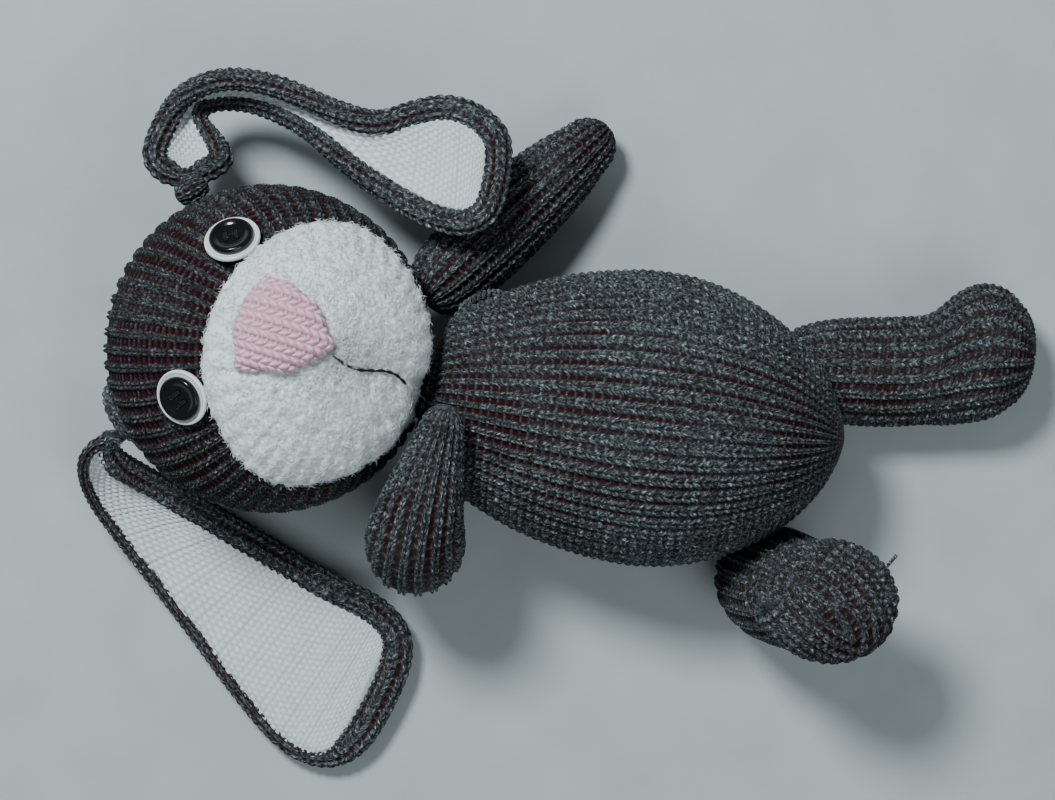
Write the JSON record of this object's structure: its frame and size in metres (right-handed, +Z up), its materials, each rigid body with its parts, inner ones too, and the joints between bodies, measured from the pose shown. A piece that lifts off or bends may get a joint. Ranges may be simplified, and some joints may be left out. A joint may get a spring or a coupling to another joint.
{
  "type": "stuffed knitted bunny",
  "caption": "Hand-knitted stuffed bunny lying on its back, with a padded muzzle, button eyes, long lined ears and sewn-on arms and legs that turn.",
  "frame": {"origin": "middle of the bounding box in plan, on the surface that the bunny lies on", "axes": "+X down the spine from the neck to the seat, +Y to the bunny's left side, +Z up, out of its front"},
  "size_m": [0.3546, 0.2612, 0.1284],
  "materials": {
    "grey_yarn": "dark grey marled knitting yarn, matt",
    "seam_yarn": "dark grey yarn overcast in the seams, matt",
    "white_yarn": "off-white yarn, matt and slightly fuzzy",
    "pink_yarn": "soft pink yarn, matt",
    "dark_thread": "dark sewing yarn, matt",
    "white_plastic": "glossy white",
    "black_plastic": "glossy black",
    "fibre": "white polyester fibre filling"
  },
  "bodies": {
    "body": {"body_cover": "grey_yarn", "body_stuffing": "fibre"},
    "neck": {"neck_stitches": "seam_yarn"},
    "head": {"head_cover": "grey_yarn", "head_stuffing": "fibre", "muzzle_cover": "white_yarn", "muzzle_stuffing": "fibre", "nose": "pink_yarn", "mouth_thread": "dark_thread", "left_eye_disc": "white_plastic", "left_eye_button": "black_plastic", "left_eye_thread": "dark_thread", "right_eye_disc": "white_plastic", "right_eye_button": "black_plastic", "right_eye_thread": "dark_thread"},
    "left_ear": {"left_ear_back": "grey_yarn", "left_ear_lining": "white_yarn"},
    "right_ear": {"right_ear_back": "grey_yarn", "right_ear_lining": "white_yarn"},
    "left_shoulder": {"left_shoulder_stitches": "seam_yarn"},
    "left_arm": {"left_arm_cover": "grey_yarn", "left_arm_stuffing": "fibre"},
    "left_hip": {"left_hip_stitches": "seam_yarn"},
    "left_leg": {"left_leg_cover": "grey_yarn", "left_leg_stuffing": "fibre"},
    "right_shoulder": {"right_shoulder_stitches": "seam_yarn"},
    "right_arm": {"right_arm_cover": "grey_yarn", "right_arm_stuffing": "fibre"},
    "right_hip": {"right_hip_stitches": "seam_yarn"},
    "right_leg": {"right_leg_cover": "grey_yarn", "right_leg_stuffing": "fibre"}
  },
  "joints": [
    {"name": "neck_turn", "type": "hinge", "parent": "body", "child": "neck", "pos_m": [-0.10862, 0.02743, 0.055], "axis": [0.9873, -0.154, -0.039], "range_deg": [-5, 35]},
    {"name": "neck_nod", "type": "hinge", "parent": "neck", "child": "head", "pos_m": [-0.10862, 0.02743, 0.055], "axis": [0.1879, 0.9786, -0.084], "range_deg": [-25, 5]},
    {"name": "left_ear_flop", "type": "hinge", "parent": "head", "child": "left_ear", "pos_m": [-0.14413, 0.07943, 0.053], "axis": [0.97, 0.243, 0], "range_deg": [-30, 15]},
    {"name": "right_ear_flop", "type": "hinge", "parent": "head", "child": "right_ear", "pos_m": [-0.16212, -0.00457, 0.05], "axis": [-0.9102, -0.4141, 0], "range_deg": [0, 70]},
    {"name": "left_shoulder_turn", "type": "hinge", "parent": "body", "child": "left_shoulder", "pos_m": [-0.04213, 0.06843, 0.029], "axis": [-0.4642, 0.8043, -0.3711], "range_deg": [-25, 60]},
    {"name": "left_arm_swing", "type": "hinge", "parent": "left_shoulder", "child": "left_arm", "pos_m": [-0.04213, 0.06843, 0.029], "axis": [0, 0, 1], "range_deg": [-20, 60]},
    {"name": "right_shoulder_turn", "type": "hinge", "parent": "body", "child": "right_shoulder", "pos_m": [-0.04713, -0.03857, 0.042], "axis": [-0.4559, -0.8748, -0.164], "range_deg": [-10, 0]},
    {"name": "right_arm_swing", "type": "hinge", "parent": "right_shoulder", "child": "right_arm", "pos_m": [-0.04713, -0.03857, 0.042], "axis": [1, 0, 0], "range_deg": [0, 90]},
    {"name": "left_hip_turn", "type": "hinge", "parent": "body", "child": "left_hip", "pos_m": [0.11088, 0.04443, 0.021], "axis": [0.7948, 0.3949, -0.4609], "range_deg": [-40, 40]},
    {"name": "left_leg_swing", "type": "hinge", "parent": "left_hip", "child": "left_leg", "pos_m": [0.11088, 0.04443, 0.021], "axis": [0.132, -0.9912, 0], "range_deg": [-10, 50]},
    {"name": "right_hip_turn", "type": "hinge", "parent": "body", "child": "right_hip", "pos_m": [0.08687, -0.03857, 0.022], "axis": [0.5082, -0.7562, -0.4121], "range_deg": [-40, 40]},
    {"name": "right_leg_swing", "type": "hinge", "parent": "right_hip", "child": "right_leg", "pos_m": [0.08687, -0.03857, 0.022], "axis": [0, 1, 0], "range_deg": [0, 80]}
  ]
}
